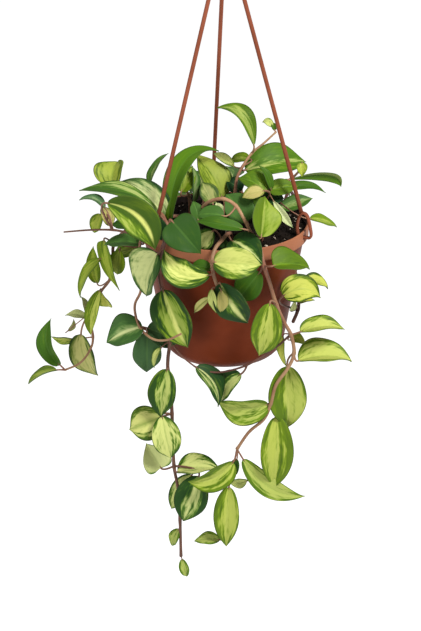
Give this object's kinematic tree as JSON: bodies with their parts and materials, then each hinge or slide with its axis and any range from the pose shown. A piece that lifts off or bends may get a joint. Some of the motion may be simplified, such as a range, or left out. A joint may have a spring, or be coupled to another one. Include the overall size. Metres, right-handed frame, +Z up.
{
  "type": "potted hoya in a hanging pot",
  "caption": "Variegated hoya with long trailing leafy stems in a terracotta-coloured plastic pot, hung from a three-rod plastic hanger with a hook.",
  "frame": {"origin": "top of the inside of the hook, where the hanger rests on what holds it, on the pot's upright axis", "axes": "+Z up along the pot's axis, +X to the right as the plant is seen from the front, +Y away from the front"},
  "size_m": [0.2892, 0.2247, 0.627],
  "materials": {
    "pot_plastic": "terracotta-coloured plastic with a faint sheen",
    "hanger_plastic": "smooth brown-red plastic",
    "soil": "dark, moist, crumbly potting soil",
    "leaf": "waxy green leaf with a cream centre"
  },
  "bodies": {
    "root": {"pot": "pot_plastic", "soil": "soil", "hanger": "hanger_plastic", "vine_far_left": "leaf", "vine_runner": "leaf", "vine_left": "leaf", "vine_loop": "leaf", "vine_hang": "leaf", "vine_centre": "leaf", "vine_front": "leaf", "vine_right": "leaf", "vine_side": "leaf", "vine_upright": "leaf", "vine_arch": "leaf", "vine_crown": "leaf", "vine_far_right": "leaf", "vine_back_left": "leaf", "vine_back_mid": "leaf", "vine_back_right": "leaf"}
  },
  "joints": []
}
